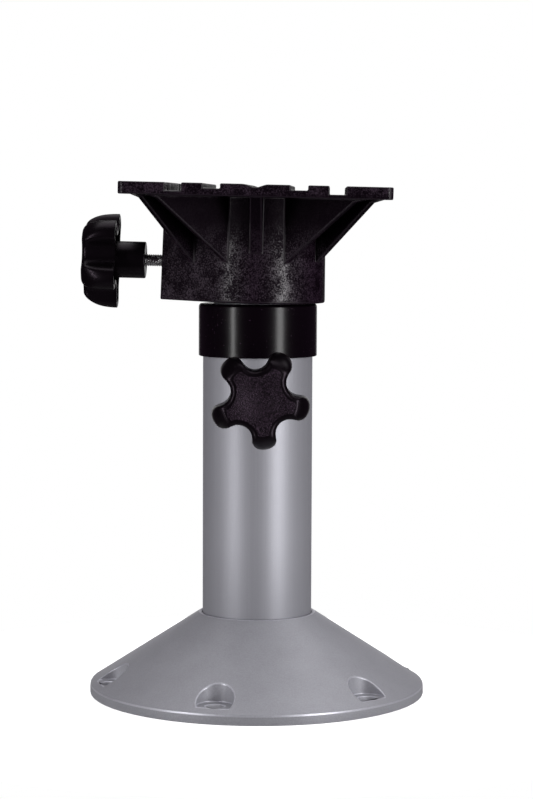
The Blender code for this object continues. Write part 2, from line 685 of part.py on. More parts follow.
def lofted(name, first, loops, last, **where):
    """A closed skin through rings of as many points each, shut by a point at both ends."""
    mesh = bpy.data.meshes.new(name)
    bm = bmesh.new()
    rings = [[bm.verts.new(point) for point in loop] for loop in loops]
    count = len(rings[0])
    start, end = bm.verts.new(first), bm.verts.new(last)
    for index in range(count):
        after = (index + 1) % count
        bm.faces.new((start, rings[0][index], rings[0][after]))
        bm.faces.new((rings[-1][index], end, rings[-1][after]))
        for upper, lower in zip(rings, rings[1:]):
            bm.faces.new((upper[index], lower[index], lower[after], upper[after]))
    bmesh.ops.recalc_face_normals(bm, faces=bm.faces)
    bm.to_mesh(mesh)
    bm.free()
    return place(bpy.data.objects.new(name, mesh), PARTS, **where)


def make_knob(name, clamp, reach, turn):
    """A star knob whose own Z runs outwards: hub towards the clamp, hollow lobes, dished front."""
    rear = KNOB_HUB_LENGTH
    front = rear + KNOB_DEPTH
    roof = front - KNOB_WALL
    loops = [star_loop(front - KNOB_DISH * 0.75, 0.0, KNOB_ROUND, scale=0.4),
             star_loop(front - KNOB_DISH * 0.3, 0.0, KNOB_ROUND, scale=0.8),
             star_loop(front, 0.0, KNOB_ROUND)]
    for step in (0.35, 0.7, 1.0):
        angle = step * math.pi / 2.0
        depth = KNOB_ROUND * (1.0 - math.cos(angle))
        loops.append(star_loop(front - depth, depth, KNOB_ROUND * (1.0 - math.sin(angle))))
    for share in (0.2, 0.4, 0.68, 1.0):
        depth = KNOB_DEPTH * share
        loops.append(star_loop(front - depth, depth, 0.0))
    loops.append(star_loop(rear, KNOB_DEPTH, KNOB_WALL, KNOB_WALL))
    depth = KNOB_DEPTH * 0.4
    loops.append(star_loop(front - depth, depth, KNOB_WALL, KNOB_WALL))
    loops.append(star_loop(roof, KNOB_WALL, KNOB_WALL, 1.5 * KNOB_WALL))
    loops.append(round_loop(roof, KNOB_HUB_RADIUS))
    loops.append(round_loop(PLATE_ROUND, KNOB_HUB_RADIUS))
    loops.append(round_loop(0.0, KNOB_HUB_RADIUS - PLATE_ROUND))
    loops.append(round_loop(0.0, STUD_RADIUS + GAP))
    loops.append(round_loop(STUD_SUNK + GAP, STUD_RADIUS + GAP))
    lofted(name, (0.0, 0.0, front - KNOB_DISH), loops, (0.0, 0.0, STUD_SUNK + GAP), parent=clamp,
           location=(0.0, 0.0, reach), rotation=(0.0, 0.0, turn))


def make_stud(name, clamp, pad_back, reach):
    """The knob's threaded stud: its tip steps down to a dog that sits in the pad."""
    tip = pad_back + GAP
    chamfer = STUD_RADIUS / 8.0
    end = reach + STUD_SUNK
    turned(name, [
        (0.0, end),
        (STUD_RADIUS, end),
        (STUD_RADIUS, tip + chamfer),
        (STUD_RADIUS - chamfer, tip),
        (STUD_DOG_RADIUS, tip),
        (STUD_DOG_RADIUS, tip - STUD_DOG),
        (0.0, tip - STUD_DOG),
    ], ROUND_SMALL, PARTS, parent=clamp)


def make_pad(name, clamp, thickness):
    """A brake pad: a disc whose face is hollowed to the post and whose back takes the stud's dog."""
    back = PAD_FACE + thickness
    blank = PAD_FACE * math.cos(math.asin(PAD_RADIUS / PAD_FACE))
    pad = turned(name, [
        (0.0, back - STUD_DOG - GAP),
        (STUD_DOG_RADIUS + GAP, back - STUD_DOG - GAP),
        (STUD_DOG_RADIUS + GAP, back),
        (PAD_RADIUS, back),
        (PAD_RADIUS, blank),
        (0.0, blank),
    ], ROUND_SMALL, PARTS, parent=clamp)
    boolean(pad, rod(name + "_face", PAD_FACE, -2.0 * PAD_RADIUS, 2.0 * PAD_RADIUS, CUTTERS, ROUND_LARGE, parent=clamp,
                     rotation=(math.pi / 2.0, 0.0, 0.0)))
    return back


def make_height_clamp(clamp):
    back = make_pad("height_brake_pad", clamp, HEIGHT_PAD)
    make_stud("height_stud", clamp, back, HEIGHT_KNOB_REACH)
    make_knob("height_knob", clamp, HEIGHT_KNOB_REACH, HEIGHT_KNOB_TURN)
    flange = TUBE_RADIUS + GAP
    bore = STUD_RADIUS + GAP
    turned("height_insert", [
        (bore, flange + INSERT_FLANGE),
        (INSERT_FLANGE_RADIUS - PLATE_ROUND, flange + INSERT_FLANGE),
        (INSERT_FLANGE_RADIUS, flange + INSERT_FLANGE - PLATE_ROUND),
        (INSERT_FLANGE_RADIUS, flange),
        (INSERT_RADIUS, flange),
        (INSERT_RADIUS, TUBE_BORE),
        (bore, TUBE_BORE),
    ], ROUND_SMALL, PARTS, closed=True, parent=clamp)


def make_swivel_clamp(clamp):
    back = make_pad("swivel_brake_pad", clamp, SWIVEL_PAD)
    make_stud("swivel_stud", clamp, back, SWIVEL_KNOB_REACH)
    make_knob("swivel_knob", clamp, SWIVEL_KNOB_REACH, SWIVEL_KNOB_TURN)
    start, end = swivel_insert_span()
    bore = STUD_RADIUS + GAP
    turned("swivel_insert", [(bore, end), (INSERT_RADIUS, end), (INSERT_RADIUS, start), (bore, start)], ROUND_SMALL,
           PARTS, closed=True, parent=clamp)


FINISHES = {
    "base_flange": ((0.43, 0.44, 0.47), 0.42, 0.7),
    "pedestal_tube": ((0.47, 0.47, 0.51), 0.30, 0.9),
    "tube_set_screw": ((0.35, 0.35, 0.36), 0.35, 1.0),
    "top_bush": ((0.012, 0.012, 0.013), 0.18, 0.0),
    "height_insert": ((0.55, 0.55, 0.56), 0.30, 1.0),
    "inner_post": ((0.50, 0.50, 0.53), 0.30, 0.9),
    "lower_guide": ((0.05, 0.05, 0.05), 0.50, 0.0),
    "post_cap": ((0.70, 0.70, 0.66), 0.50, 0.0),
    "thrust_washer": ((0.55, 0.55, 0.56), 0.25, 1.0),
    "seat_mount": ((0.020, 0.019, 0.021), 0.55, 0.0),
    "swivel_insert": ((0.55, 0.45, 0.22), 0.35, 1.0),
    "height_knob": ((0.018, 0.017, 0.019), 0.42, 0.0),
    "swivel_knob": ((0.018, 0.017, 0.019), 0.42, 0.0),
    "height_stud": ((0.55, 0.55, 0.57), 0.28, 1.0),
    "swivel_stud": ((0.55, 0.55, 0.57), 0.28, 1.0),
    "height_brake_pad": ((0.10, 0.10, 0.10), 0.60, 0.0),
    "swivel_brake_pad": ((0.10, 0.10, 0.10), 0.60, 0.0),
}


def finish_parts():
    """Gives each part its material, and smooth shading between its sharp edges."""
    bpy.context.view_layer.update()
    graph = bpy.context.evaluated_depsgraph_get()
    for thing in PARTS.objects:
        if thing.type != 'MESH':
            continue
        mesh = bpy.data.meshes.new_from_object(thing.evaluated_get(graph))
        mesh.shade_smooth()
        mesh.set_sharp_from_angle(angle=math.radians(32.0))
        thing.modifiers.clear()
        thing.data = mesh
        colour, roughness, metallic = next(FINISHES[key] for key in FINISHES if thing.name.startswith(key))
        material = bpy.data.materials.new(thing.name)
        material.use_nodes = True
        shader = material.node_tree.nodes["Principled BSDF"]
        shader.inputs["Base Color"].default_value = colour + (1.0,)
        shader.inputs["Roughness"].default_value = roughness
        shader.inputs["Metallic"].default_value = metallic
        mesh.materials.clear()
        mesh.materials.append(material)


def make_pedestal():
    make_base()
    for index, angle in enumerate(grub_angles()):
        make_grub_screw(index + 1, angle)
    make_tube()
    make_top_bush()
    make_height_clamp(frame("height_clamp", location=(0.0, 0.0, HEIGHT_CLAMP),
                            rotation=(math.pi / 2.0, 0.0, HEIGHT_CLAMP_TURN)))
    post_frame = frame("post_frame")
    make_post(post_frame)
    # The mount turns to its place, and then leans on the post by the play in its socket
    hinge = (-math.sin(LEAN_HEADING), math.cos(LEAN_HEADING), 0.0)
    stance = Matrix.Rotation(MOUNT_LEAN, 4, hinge) @ Matrix.Rotation(MOUNT_YAW, 4, 'Z')
    mount_frame = frame("mount_frame", post_frame, (0.0, 0.0, MOUNT_PIVOT), stance.to_euler())
    make_seat_mount(mount_frame)
    make_swivel_clamp(frame("swivel_clamp", mount_frame, (0.0, 0.0, SWIVEL_CLAMP - MOUNT_PIVOT),
                            (math.pi / 2.0, 0.0, -math.pi / 2.0)))
    finish_parts()


clear_scene()
PARTS = new_collection("boat_seat_pedestal")
CUTTERS = new_collection("cutters")
make_pedestal()
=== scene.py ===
"""Boat seat pedestal, dressed: cast base, satin tube, gloss bush, mottled seat mount and two star knobs.

Lengths are in metres in the row frame, where +Z is up and the origin is on the deck under the tube.
"""

import json
import math

import bmesh
import bpy
from bpy.props import FloatProperty, FloatVectorProperty, IntProperty, PointerProperty
from mathutils import Matrix, Vector
from mathutils.bvhtree import BVHTree


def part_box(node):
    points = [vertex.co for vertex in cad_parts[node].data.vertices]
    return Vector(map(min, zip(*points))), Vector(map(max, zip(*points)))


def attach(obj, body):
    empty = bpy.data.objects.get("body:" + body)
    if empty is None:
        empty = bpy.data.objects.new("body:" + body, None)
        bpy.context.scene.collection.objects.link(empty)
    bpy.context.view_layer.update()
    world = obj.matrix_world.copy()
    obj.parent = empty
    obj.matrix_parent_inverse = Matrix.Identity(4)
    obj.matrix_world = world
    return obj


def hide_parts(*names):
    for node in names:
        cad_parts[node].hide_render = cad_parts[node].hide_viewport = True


bl_info = {
    "name": "Boat Seat Pedestal",
    "version": (1, 0, 0),
    "blender": (4, 5, 0),
    "location": "View3D > Sidebar > Pedestal",
    "description": "Builds the finished look of a boat seat pedestal round its packed frame",
    "category": "Object",
}

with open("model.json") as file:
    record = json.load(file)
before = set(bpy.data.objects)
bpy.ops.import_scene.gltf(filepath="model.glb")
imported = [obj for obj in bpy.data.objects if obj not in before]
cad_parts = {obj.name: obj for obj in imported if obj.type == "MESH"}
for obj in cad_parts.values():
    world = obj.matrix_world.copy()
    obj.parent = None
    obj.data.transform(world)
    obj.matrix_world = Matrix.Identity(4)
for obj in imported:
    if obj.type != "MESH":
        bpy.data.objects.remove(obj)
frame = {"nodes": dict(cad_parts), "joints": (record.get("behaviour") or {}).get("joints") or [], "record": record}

TUBE_AXIS = Vector((0.0, 0.0, 1.0))

# Heights on the resting seat mount between which painted shade takes its bloom out under the plate, and between
# which the bloom comes back on it
PAINTED_SHADE_RISE = (0.298, 0.323)
PAINTED_SHADE_END = (0.3385, 0.3415)

# Edges of a turned or lofted piece that bend by more than this stay sharp in its shading
SMOOTH_ANGLE = math.radians(50.0)

# How a node's facets are joined up before its edges are rounded
WELD_DISTANCE = 0.0003
SLIVER_LENGTH = 0.0001
FLAT_ANGLE = math.radians(0.8)
SHARP_ANGLE = math.radians(28.0)
# Shares of the rounding: how far off the node's surface a vertex may end up, and how close two of them may lie
STRAY_SHARE = 0.45
WELD_SHARE = 0.2

DRILL_SIDES = 32
KNOB_STEPS = 180
STUD_SIDES = 24
THREAD_STEPS = 8
FLOOR_SIDES = 96
WHITE = (1.0, 1.0, 1.0, 1.0)


def length(name, description, default):
    return FloatProperty(name=name, description=description, default=default, min=0.0, subtype='DISTANCE',
                         unit='LENGTH')


def angle(name, description, degrees):
    return FloatProperty(name=name, description=description, default=math.radians(degrees), subtype='ANGLE',
                         unit='ROTATION')


def wattage(name, description, default):
    return FloatProperty(name=name, description=description, default=default, unit='POWER')


def colour(name, description, default):
    return FloatVectorProperty(name=name, description=description, default=default, min=0.0, max=1.0, size=3,
                               subtype='COLOR')


class PedestalColours(bpy.types.PropertyGroup):
    casting: colour("Casting", "Silver coat of the cast base", (0.349, 0.349, 0.383))
    tube: colour("Tube", "Anodised tube and post", (0.328, 0.328, 0.360))
    bush: colour("Bush", "Gloss black top bush", (0.0019, 0.0007, 0.0019))
    nylon: colour("Nylon", "Dark ground of the seat mount", (0.0016, 0.0006, 0.0016))
    nylon_bloom: colour("Nylon bloom", "Greyish bloom in the seat mount's mottling", (0.0188, 0.0096, 0.0188))
    knob: colour("Knob", "Moulded plastic of the star knobs", (0.0028, 0.0017, 0.0028))
    steel: colour("Steel", "Plated studs, screws and washer", (0.58, 0.57, 0.58))
    brass: colour("Brass", "Threaded insert in the seat mount", (0.56, 0.43, 0.19))
    guide: colour("Guide", "Plain plastic of the guide, cap and pads", (0.30, 0.30, 0.29))


class KnobSizes(bpy.types.PropertyGroup):
    lobes: IntProperty(name="Lobes", description="Number of lobes of each star knob", default=5, min=3, max=8)
    lobe_circle: length("Lobe circle", "Radius of the circle on which the lobes are centred", 0.0269)
    lobe_radius: length("Lobe radius", "Radius of a lobe's tip", 0.0081)
    hollow_reach: length("Hollow", "Distance from the knob's axis to the bottom of a hollow", 0.0195)
    hub_radius: length("Hub radius", "Radius of the round hub behind the star", 0.0125)
    star_depth: length("Star depth", "Depth of the star from its front face to the rim of its lobes", 0.0228)
    dome_radius: length("Dome radius", "Reach of the rounded lobes at their rim", 0.0354)
    dome_depth: length("Dome depth", "Depth of the dome that rounds the lobes", 0.0318)
    wall: length("Wall", "Wall of the hollow lobes", 0.0026)
    edge: length("Edge", "Rounding of the front face's edge", 0.0034)
    dish: length("Dish", "Depth of the shallow dish in the front face", 0.0026)
    hub_fillet: length("Hub fillet", "Fillet between the hub and the star's hollow back", 0.0012)
    hub_round: length("Hub rounding", "Rounding of the hub's end", 0.0008)
    bore_bevel: length("Bore bevel", "Bevel at the mouth of the hub's bore", 0.0006)
    height_turn: angle("Height knob turn", "Turn of the front knob about its screw", -11.6)
    swivel_turn: angle("Swivel knob turn", "Turn of the side knob about its screw", 45.6)


class DetailSizes(bpy.types.PropertyGroup):
    thread_pitch: length("Thread pitch", "Pitch of the M8 clamp screws", 0.00125)
    thread_depth: length("Thread depth", "Depth of the clamp screws' thread", 0.00062)
    dog_length: length("Dog length", "Length of the plain point of a clamp screw", 0.0012)
    dog_radius: length("Dog radius", "Radius of the plain point of a clamp screw", 0.0025)
    clearance: length("Clearance", "Space between pieces that slide in or rest on each other", 0.0003)
    mount_edge: length("Mount edge", "Rounding of the seat mount's moulded edges", 0.0008)
    casting_edge: length("Casting edge", "Rounding of the base's cast edges", 0.0007)
    tube_edge: length("Tube edge", "Rounding of the ends of the tube and the post", 0.0005)
    collar_height: length("Collar height", "Height of the bush's collar outside the tube", 0.0358)
    collar_round: length("Collar rounding", "Rounding of the collar's upper edge", 0.0022)
    collar_mouth: length("Collar mouth", "Rounding of the collar's mouth and lower edge", 0.0008)
    steps: IntProperty(name="Steps", description="Sides of the turned pieces", default=160, min=32, max=256)


class StageSizes(bpy.types.PropertyGroup):
    distance: length("Camera distance", "Distance from the tube's axis to the camera", 1.554)
    side: FloatProperty(name="Camera side", description="Camera's place to the right of the tube's axis",
                        default=0.0061, subtype='DISTANCE', unit='LENGTH')
    height: length("Camera height", "Height of the camera over the deck", 0.3205)
    pitch: angle("Camera pitch", "How far the camera looks down", 4.36)
    roll: angle("Camera roll", "Turn of the camera about its line of sight", 0.21)
    lens: FloatProperty(name="Lens", description="Focal length", default=102.28, unit='CAMERA')
    light_distance: length("Light distance", "Distance of the strip and broad lights from the tube", 1.8)
    left_swing: angle("Left swing", "Turn of the left strip light from the camera", 48.5)
    right_swing: angle("Right swing", "Turn of the right strip light from the camera", 43.3)
    left_width: length("Left width", "Width of the left strip light", 0.15)
    right_width: length("Right width", "Width of the right strip light", 0.38)
    strip_height: length("Strip height", "Length of the strip and broad lights", 1.7)
    strip_rise: length("Strip rise", "Height of the strip and broad lights' middle", 0.22)
    top_width: length("Top width", "Width of the overhead light", 2.2)
    aim_height: length("Aim height", "Height of the point that all lights face", 0.17)
    wash_width: length("Wash width", "Width of the two broad lights", 0.8)
    left_wash_swing: angle("Left wash swing", "Turn of the left broad light from the camera", 80.0)
    right_wash_swing: angle("Right wash swing", "Turn of the right broad light from the camera", 75.0)
    top_side: length("Top side", "Place of the overhead light to the right of the tube's axis", 0.2)
    top_back: length("Top back", "Place of the overhead light behind the tube's axis", 0.3)
    top_height: length("Top height", "Height of the overhead light", 2.0)
    left_power: wattage("Left light", "Power of the left strip light", 14.7)
    right_power: wattage("Right light", "Power of the right strip light", 24.3)
    top_power: wattage("Top light", "Power of the overhead light", 27.0)
    left_wash: wattage("Left wash", "Power of the broad light at the far left", 18.9)
    right_wash: wattage("Right wash", "Power of the broad light at the far right", 17.6)
    floor_radius: length("Floor radius", "Radius of the white table top", 0.30)
    surround: FloatProperty(name="Surround", description="Brightness of the studio round the object",
                            default=0.032, min=0.0, max=1.0)


class Value:
    """A number socket in a node tree. Arithmetic on it adds the Math nodes that work it out."""

    def __init__(self, shading, socket):
        self.shading = shading
        self.socket = socket

    def __add__(self, other):
        return self.shading.math('ADD', self, other)

    def __sub__(self, other):
        return self.shading.math('SUBTRACT', self, other)

    def __rsub__(self, other):
        return self.shading.math('SUBTRACT', other, self)

    def __mul__(self, other):
        return self.shading.math('MULTIPLY', self, other)

    __radd__ = __add__
    __rmul__ = __mul__


class Shading:
    """Adds nodes to the tree of a material or of the world."""

    def __init__(self, owner):
        owner.use_nodes = True
        self.tree = owner.node_tree
        self.tree.nodes.clear()

    def node(self, kind, settings=None, sockets=None):
        """A node of a type, with its settings made first and then its sockets' values or links."""
        made = self.tree.nodes.new("ShaderNode" + kind)
        for key, value in (settings or {}).items():
            setattr(made, key, value)
        for key, value in (sockets or {}).items():
            if isinstance(value, Value):
                value = value.socket
            if isinstance(value, bpy.types.NodeSocket):
                self.tree.links.new(value, made.inputs[key])
            else:
                made.inputs[key].default_value = value
        return made

    def math(self, operation, first, second):
        made = self.node("Math", {"operation": operation}, {0: first, 1: second})
        return Value(self, made.outputs[0])

    def spread(self, value, low, high):
        """Stretches the range from low to high to the range from 0 to 1, and keeps the result inside it."""
        made = self.node("MapRange", {"clamp": True}, {"Value": value, "From Min": low, "From Max": high})
        return Value(self, made.outputs[0])

    def mix(self, factor, first, second):
        """A colour between two colours."""
        made = self.node("Mix", {"data_type": 'RGBA'}, {0: factor, 6: first, 7: second})
        return made.outputs[2]

    def place(self, stretch=(1.0, 1.0, 1.0)):
        """The surface's own coordinates in metres, stretched along each axis."""
        where = self.node("TexCoord").outputs["Object"]
        return self.node("VectorMath", {"operation": 'MULTIPLY'}, {0: where, 1: stretch}).outputs[0]

    def noise(self, where, size, detail=2.0, roughness=0.5):
        """Noise from 0 to 1 whose patches are about as large as size, in metres."""
        made = self.node("TexNoise", {}, {"Vector": where, "Scale": 1.0 / size, "Detail": detail,
                                          "Roughness": roughness})
        return Value(self, made.outputs[0])

    def bump(self, height, distance, strength):
        return self.node("Bump", {}, {"Height": height, "Distance": distance, "Strength": strength}).outputs[0]

    def surface(self, sockets):
        shader = self.node("BsdfPrincipled", {}, sockets)
        self.node("OutputMaterial", {}, {"Surface": shader.outputs[0]})


def rgba(value, scale=1.0):
    return (value[0] * scale, value[1] * scale, value[2] * scale, 1.0)


def casting_finish(colours):
    """A silver coat over fine cast grain."""
    material = bpy.data.materials.new("cast_silver")
    s = Shading(material)
    grain = s.noise(s.place(), 0.0010, 3.0, 0.6)
    cloud = s.noise(s.place(), 0.018, 3.0)
    tone = s.spread(grain * 0.7 + cloud * 0.3, 0.3, 0.7)
    s.surface({
        "Base Color": s.mix(tone, rgba(colours.casting, 0.88), rgba(colours.casting, 1.12)),
        "Metallic": 0.29,
        "Specular IOR Level": 0.37,
        "Roughness": 0.42 + grain * 0.10,
        "Normal": s.bump(grain, 0.00012, 0.7),
    })
    return material


def casting_edge_finish(colours):
    """The cast base's edges, in a lighter coat: partly a thin, worn coat and partly a painted highlight."""
    material = bpy.data.materials.new("cast_edge")
    s = Shading(material)
    grain = s.noise(s.place(), 0.0014, 3.0, 0.6)
    s.surface({
        # Partly painted highlight: the edges' colour is lifted well above the casting's
        "Base Color": s.mix(grain, rgba(colours.casting, 1.35), rgba(colours.casting, 1.95)),
        "Metallic": 0.55,
        "Roughness": 0.34 + grain * 0.10,
    })
    return material


def tube_finish(colours):
    """Satin anodised aluminium: fine grain, and faint lines along the tube from its drawing."""
    material = bpy.data.materials.new("anodised_satin")
    s = Shading(material)
    grain = s.noise(s.place(), 0.00045, 2.0, 0.6)
    lines = s.noise(s.place((1.0, 1.0, 0.006)), 0.0009, 2.0)
    tone = s.spread(grain * 0.6 + lines * 0.4, 0.3, 0.7)
    s.surface({
        "Base Color": s.mix(tone, rgba(colours.tube, 0.94), rgba(colours.tube, 1.06)),
        "Metallic": 0.54,
        "Specular IOR Level": 0.37,
        "Roughness": 0.44 + lines * 0.05 + grain * 0.04,
        "Normal": s.bump(grain, 0.00003, 0.5),
    })
    return material


def bush_finish(colours):
    """Smooth moulded black with a slight ripple and a few specks of dust."""
    material = bpy.data.materials.new("gloss_black")
    s = Shading(material)
    ripple = s.noise(s.place(), 0.012, 2.0)
    speck = s.spread(s.noise(s.place(), 0.0011, 0.0), 0.80, 0.86)
    s.surface({
        "Base Color": s.mix(speck, rgba(colours.bush), rgba(colours.bush, 12.0)),
        "Roughness": 0.20 + ripple * 0.04 + speck * 0.3,
        "Specular IOR Level": 0.225,
        "Normal": s.bump(ripple, 0.00006, 0.3),
    })
    return material


def nylon_finish(colours):
    """Glass-filled nylon: matt black with flecks and a cloudy grey bloom, which painted shade takes out under the
    plate.
    """
    material = bpy.data.materials.new("mottled_nylon")
    s = Shading(material)
    cloud = s.noise(s.place(), 0.011, 5.0, 0.62)
    fleck = s.noise(s.place(), 0.0010, 2.0, 0.70)
    height = Value(s, s.node("SeparateXYZ", {}, {0: s.place()}).outputs[2])
    # Painted shade: under the plate the bloom, and the coat that it drives, are dimmed by height
    fade = s.spread(height, *PAINTED_SHADE_RISE) * (1.0 - s.spread(height, *PAINTED_SHADE_END))
    bloom = s.spread(cloud * 0.4 + fleck * 0.6, 0.47, 0.62) * (1.0 - fade * 0.95)
    s.surface({
        "Base Color": s.mix(bloom, rgba(colours.nylon), rgba(colours.nylon_bloom)),
        "Roughness": 0.46 + bloom * 0.10,
        "Specular IOR Level": 0.05,
        "Specular Tint": (1.0, 0.75, 1.0, 1.0),
        "Coat Weight": bloom,
        "Coat Roughness": 0.35,
        "Coat IOR": 1.6,
        "Normal": s.bump(fleck, 0.00035, 0.9),
    })
    return material


def nylon_edge_finish(colours):
    """The seat mount's edges, rubbed a little shiny."""
    material = bpy.data.materials.new("nylon_edge")
    s = Shading(material)
    rub = s.noise(s.place(), 0.0022, 3.0, 0.6)
    s.surface({
        "Base Color": s.mix(rub, rgba(colours.nylon, 1.5), rgba(colours.nylon_bloom, 0.62)),
        "Roughness": 0.36 + rub * 0.12,
        "Specular IOR Level": 0.27,
    })
    return material


def knob_skin_finish(colours):
    """The polished flanks of a knob."""
    material = bpy.data.materials.new("knob_flank")
    s = Shading(material)
    ripple = s.noise(s.place(), 0.008, 2.0)
    s.surface({
        "Base Color": s.mix(ripple, rgba(colours.knob, 0.51), rgba(colours.knob, 0.69)),
        "Roughness": 0.29 + ripple * 0.07,
        "Specular IOR Level": 0.16,
        "Specular Tint": (1.0, 0.80, 1.0, 1.0),
        "Normal": s.bump(ripple, 0.00005, 0.25),
    })
    return material


def knob_face_finish(colours):
    """The spark-eroded grain of a knob's front face."""
    material = bpy.data.materials.new("knob_grain")
    s = Shading(material)
    grain = s.noise(s.place(), 0.0009, 2.0, 0.6)
    pits = s.spread(grain, 0.48, 0.62)
    s.surface({
        "Base Color": s.mix(pits, rgba(colours.knob, 0.3), rgba(colours.knob, 7.0)),
        "Roughness": 0.36 + pits * 0.10,
        "Specular IOR Level": 0.23,
        "Specular Tint": (1.0, 0.75, 1.0, 1.0),
        "Normal": s.bump(grain, 0.00050, 0.9),
    })
    return material


def steel_finish(colours):
    """Bright plating, slightly uneven."""
    material = bpy.data.materials.new("plated_steel")
    s = Shading(material)
    wear = s.noise(s.place(), 0.0015, 3.0)
    s.surface({
        "Base Color": s.mix(wear, rgba(colours.steel, 0.85), rgba(colours.steel, 1.1)),
        "Metallic": 1.0,
        "Roughness": 0.20 + wear * 0.16,
    })
    return material


def brass_finish(colours):
    """Turned brass with fine tool marks."""
    material = bpy.data.materials.new("turned_brass")
    s = Shading(material)
    marks = s.noise(s.place((0.05, 1.0, 1.0)), 0.0006, 2.0)
    s.surface({
        "Base Color": s.mix(marks, rgba(colours.brass, 0.85), rgba(colours.brass, 1.1)),
        "Metallic": 1.0,
        "Roughness": 0.26 + marks * 0.14,
    })
    return material


def guide_finish(colours):
    """Plain plastic of the pieces that slide inside."""
    material = bpy.data.materials.new("guide_plastic")
    s = Shading(material)
    grain = s.noise(s.place(), 0.0012, 3.0)
    s.surface({
        "Base Color": s.mix(grain, rgba(colours.guide, 0.9), rgba(colours.guide, 1.1)),
        "Roughness": 0.45 + grain * 0.12,
        "Normal": s.bump(grain, 0.00005, 0.4),
    })
    return material


FINISHES = {
    "cast_silver": casting_finish,
    "cast_edge": casting_edge_finish,
    "anodised_satin": tube_finish,
    "gloss_black": bush_finish,
    "mottled_nylon": nylon_finish,
    "nylon_edge": nylon_edge_finish,
    "knob_flank": knob_skin_finish,
    "knob_grain": knob_face_finish,
    "plated_steel": steel_finish,
    "turned_brass": brass_finish,
    "guide_plastic": guide_finish,
}


def finish(name):
    """The material of that name, made the first time that it is asked for."""
    found = bpy.data.materials.get(name)
    return found or FINISHES[name](bpy.context.scene.pedestal_colours)


def dress(piece, *finishes):
    if piece.data.materials:
        piece.data.materials.clear()
    for name in finishes:
        piece.data.materials.append(finish(name))


def body_of_node(node):
    return next(body for body, nodes in frame["record"]["behaviour"]["bodies"].items() if node in nodes)


def new_piece(name, bm, node, *finishes):
    """Makes a mesh object that stands for a node of the frame and moves with its body."""
    bmesh.ops.recalc_face_normals(bm, faces=bm.faces)
    mesh = bpy.data.meshes.new(name)
    bm.to_mesh(mesh)
    bm.free()
    mesh.shade_smooth()
    mesh.set_sharp_from_angle(angle=SMOOTH_ANGLE)
    piece = bpy.data.objects.new(name, mesh)
    bpy.context.scene.collection.objects.link(piece)
    dress(piece, *finishes)
    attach(piece, body_of_node(node))
    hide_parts(node)
    return piece


def rounded(corners, segments=5):
    """Points of a closed outline from (x, y, fillet) corners, each turned into an arc of its fillet's radius."""
    points = []
    count = len(corners)
    for index, (x, y, fillet) in enumerate(corners):
        here = Vector((x, y))
        if fillet <= 0.0:
            points.append(here)
            continue
        before = (Vector(corners[index - 1][:2]) - here).normalized()
        after = (Vector(corners[(index + 1) % count][:2]) - here).normalized()
        half = before.angle(after) / 2.0
        centre = here + (before + after).normalized() * fillet / math.sin(half)
        start = here + before * fillet / math.tan(half) - centre
        end = here + after * fillet / math.tan(half) - centre
        for step in range(segments + 1):
            points.append(centre + start.normalized().slerp(end.normalized(), step / segments) * fillet)
    return points


def ring(bm, points):
    return [bm.verts.new(point) for point in points]


def bridge(bm, first, second):
    count = len(first)
    for index in range(count):
        after = (index + 1) % count
        bm.faces.new((first[index], second[index], second[after], first[after]))


def turned(profile, steps, matrix=Matrix.Identity(4)):
    """A closed turned solid from a closed outline of (radius, height) points, placed by a matrix."""
    bm = bmesh.new()
    spokes = []
    for step in range(steps):
        turn = step * math.tau / steps
        spokes.append(ring(bm, [matrix @ Vector((radius * math.cos(turn), radius * math.sin(turn), height))
                                for radius, height in profile]))
    for first, second in zip(spokes, spokes[1:] + spokes[:1]):
        bridge(bm, first, second)
    return bm


def mount_up():
    """The direction in which the leaning seat mount points up."""
    face = next(mount for mount in frame["record"]["mounts"] if mount["name"] == "seat_face")
    return Vector(face["axis"])


def clamp_frame(joint_name, up):
    """Place of a clamp screw: Z runs outwards along it, Y is up, and the origin is on its axis."""
    joint = next(joint for joint in frame["joints"] if joint["name"] == joint_name)
    outwards = Vector(joint["axis"]).normalized()
    across = up.cross(outwards).normalized()
    upright = outwards.cross(across)
    matrix = Matrix((across, upright, outwards)).transposed().to_4x4()
    matrix.translation = Vector(joint["pos_m"])
    return matrix


def span(node, matrix):
    """Where a node starts and ends along a frame's Z, and how far it reaches from that axis."""
    inverse = matrix.inverted()
    points = [inverse @ vertex.co for vertex in frame["nodes"][node].data.vertices]
    heights = [point.z for point in points]
    return min(heights), max(heights), max(point.xy.length for point in points)


def softened(node, name, edge, *finishes):
    """A finer copy of a node: its flat faces are joined up, and its sharp edges rounded in the second finish."""
    bm = bmesh.new()
    bm.from_mesh(frame["nodes"][node].data)
    bmesh.ops.remove_doubles(bm, verts=bm.verts, dist=WELD_DISTANCE)
    bmesh.ops.dissolve_degenerate(bm, dist=SLIVER_LENGTH, edges=bm.edges)
    bmesh.ops.dissolve_limit(bm, angle_limit=FLAT_ANGLE, verts=bm.verts, edges=bm.edges)
    sharp = [line for line in bm.edges if len(line.link_faces) == 2 and line.calc_face_angle() > SHARP_ANGLE]
    bmesh.ops.bevel(bm, geom=sharp, offset=edge, offset_type='OFFSET', segments=2, profile=0.5, affect='EDGES',
                    clamp_overlap=False, material=1)
    surface = BVHTree.FromObject(frame["nodes"][node], bpy.context.evaluated_depsgraph_get())
    # Where short edges meet, the bevel throws some vertices off the surface, so they go between their neighbours
    stray = [vertex for vertex in bm.verts if surface.find_nearest(vertex.co)[3] > edge * STRAY_SHARE]
    for vertex in stray:
        others = [line.other_vert(vertex) for line in vertex.link_edges]
        beside = [other.co for other in others if other not in stray]
        vertex.co = sum(beside, Vector()) / len(beside) if beside else surface.find_nearest(vertex.co)[0]
    bmesh.ops.remove_doubles(bm, verts=stray, dist=edge * WELD_SHARE)
    piece = new_piece(name, bm, node, *finishes)
    weighted = piece.modifiers.new("weighted_normals", 'WEIGHTED_NORMAL')
    weighted.keep_sharp = True
    return piece


def bore_radius(node):
    return min(vertex.co.xy.length for vertex in frame["nodes"][node].data.vertices)


